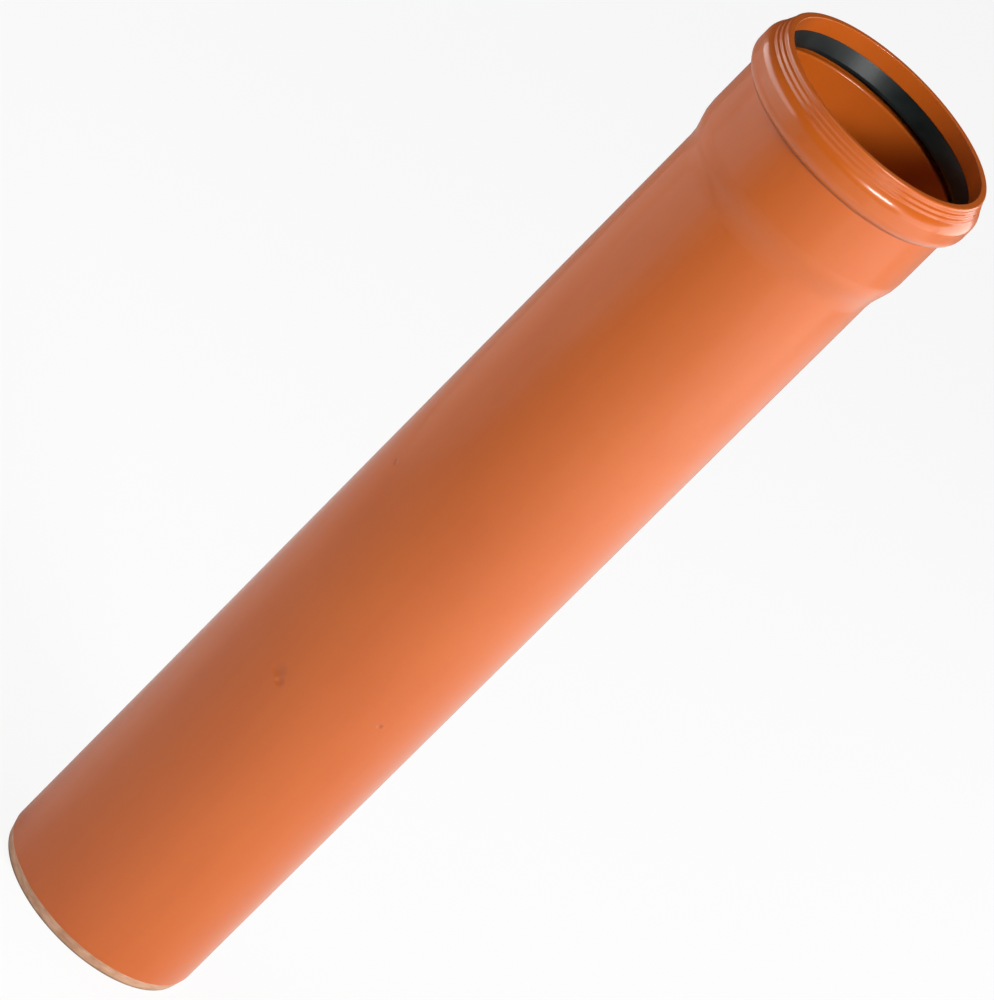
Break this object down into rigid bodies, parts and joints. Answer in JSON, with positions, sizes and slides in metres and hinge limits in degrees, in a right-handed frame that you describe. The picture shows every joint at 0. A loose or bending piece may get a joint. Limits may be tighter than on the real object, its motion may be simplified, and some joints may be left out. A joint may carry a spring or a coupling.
{
  "type": "pvc sewer pipe",
  "caption": "Orange PVC gravity drain pipe with a plain chamfered end and a belled socket that holds a rubber sealing ring.",
  "frame": {"origin": "centre of the plain end's face, at the bottom of the standing pipe", "axes": "+Z along the pipe's axis, from the plain end up to the socket's mouth; X and Y are free, because the pipe is round"},
  "size_m": [0.1272, 0.127, 0.56],
  "materials": {
    "pvc": "smooth extruded orange-brown PVC, semi-gloss, with faint lengthwise die lines",
    "rubber": "black moulded rubber, satin"
  },
  "bodies": {
    "root": {"socket_pipe": "pvc", "sealing_ring": "rubber"}
  },
  "joints": []
}
